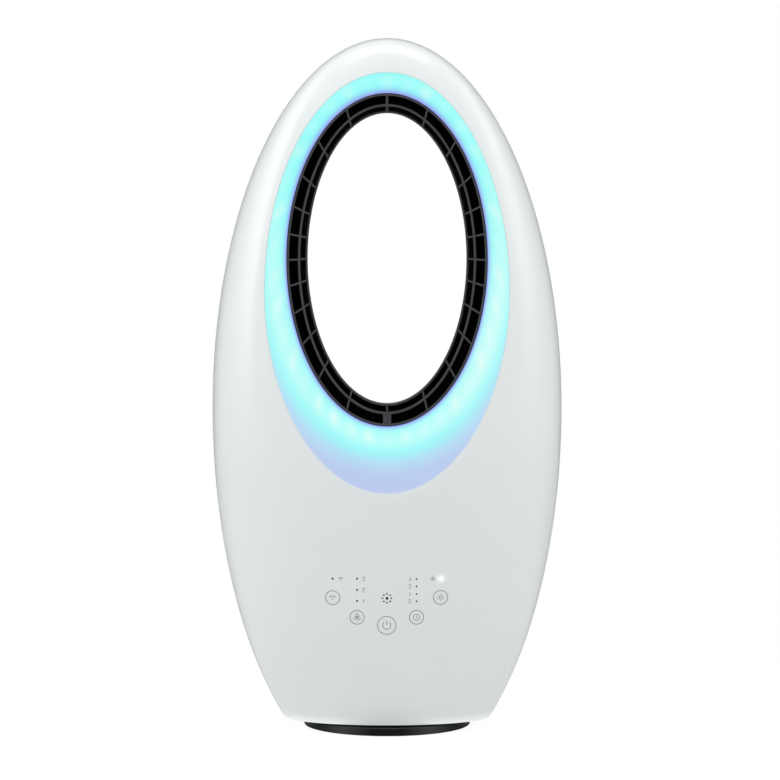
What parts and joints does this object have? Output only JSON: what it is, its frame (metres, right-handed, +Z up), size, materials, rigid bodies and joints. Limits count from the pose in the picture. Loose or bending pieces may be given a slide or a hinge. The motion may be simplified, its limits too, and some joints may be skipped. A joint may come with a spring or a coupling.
{
  "type": "bladeless fan",
  "caption": "Egg-shaped white bladeless table fan with an oval air throat, a glowing cyan ring, a touch panel and a round swivelling base.",
  "frame": {"origin": "on the surface it stands on, under the middle of the round base, on the swivel axis", "axes": "+Z up, the front with the slotted ring and the touch panel faces -Y, +X to the viewer's right"},
  "size_m": [0.2734, 0.171, 0.54],
  "materials": {
    "white_shell": "gloss",
    "light_cover": "satin",
    "white_board": "satin",
    "black_grille": "satin",
    "black_base": "gloss",
    "black_plastic": "matte",
    "black_rubber": "matte",
    "lead_sleeve": "matte",
    "nylon": "satin",
    "white_inner": "matte",
    "green_board": "satin",
    "zinc_steel": "satin",
    "core_steel": "matte",
    "bright_steel": "satin"
  },
  "bodies": {
    "base": {"base_shell": "black_base", "base_bottom": "black_plastic", "base_weight": "zinc_steel", "foot_1": "black_rubber", "foot_2": "black_rubber", "foot_3": "black_rubber", "foot_4": "black_rubber", "base_screw_1": "bright_steel", "base_screw_2": "bright_steel", "base_screw_3": "bright_steel", "slip_ring": "nylon", "swing_gear": "nylon", "pivot_washer": "zinc_steel", "pivot_screw": "bright_steel"},
    "fan_body": {"front_shell": "white_shell", "rear_shell": "white_shell", "light_ring": "light_cover", "led_board": "white_board", "outlet_grille": "black_grille", "outlet_channel": "black_grille", "throat_sleeve": "white_shell", "intake_grille": "white_shell", "shell_screw_1": "bright_steel", "shell_screw_2": "bright_steel", "shell_screw_3": "bright_steel", "shell_screw_4": "bright_steel", "shell_screw_5": "bright_steel", "shell_screw_6": "bright_steel", "floor_plate": "white_inner", "swing_motor": "zinc_steel", "swing_motor_screw_1": "bright_steel", "swing_motor_screw_2": "bright_steel", "deck_plate": "white_inner", "inlet_bell": "black_plastic", "diffuser": "black_plastic", "blower_screw_1": "bright_steel", "blower_screw_2": "bright_steel", "blower_screw_3": "bright_steel", "motor_housing": "zinc_steel", "motor_end_cap": "zinc_steel", "stator_core": "core_steel", "bearing_lower": "bright_steel", "bearing_upper": "bright_steel", "motor_isolator": "black_rubber", "tail_cone": "black_plastic", "control_board": "green_board", "touch_pad_swing": "bright_steel", "touch_pad_speed": "bright_steel", "touch_pad_power": "bright_steel", "touch_pad_timer": "bright_steel", "touch_pad_light": "bright_steel", "power_board": "green_board", "power_inlet": "black_plastic", "inlet_lead": "lead_sleeve"},
    "impeller_rotor": {"motor_shaft": "bright_steel", "rotor_core": "core_steel", "impeller": "black_plastic", "impeller_nut": "bright_steel"},
    "pinion": {"swing_pinion": "nylon"}
  },
  "joints": [
    {"name": "swing", "type": "hinge", "parent": "base", "child": "fan_body", "pos_m": [0, 0, 0.017], "axis": [0, 0, 1], "range_deg": [-40, 40]},
    {"name": "pinion_spin", "type": "hinge", "parent": "fan_body", "child": "pinion", "pos_m": [0, -0.03, 0.02], "axis": [0, 0, 1], "range_deg": [-95, 95]},
    {"name": "impeller_spin", "type": "hinge", "parent": "fan_body", "child": "impeller_rotor", "pos_m": [0, 0, 0.12], "axis": [0, 0, 1], "continuous": true}
  ],
  "couplings": [
    {"joint": "pinion_spin", "follows": "swing", "ratio": 2.3333}
  ]
}
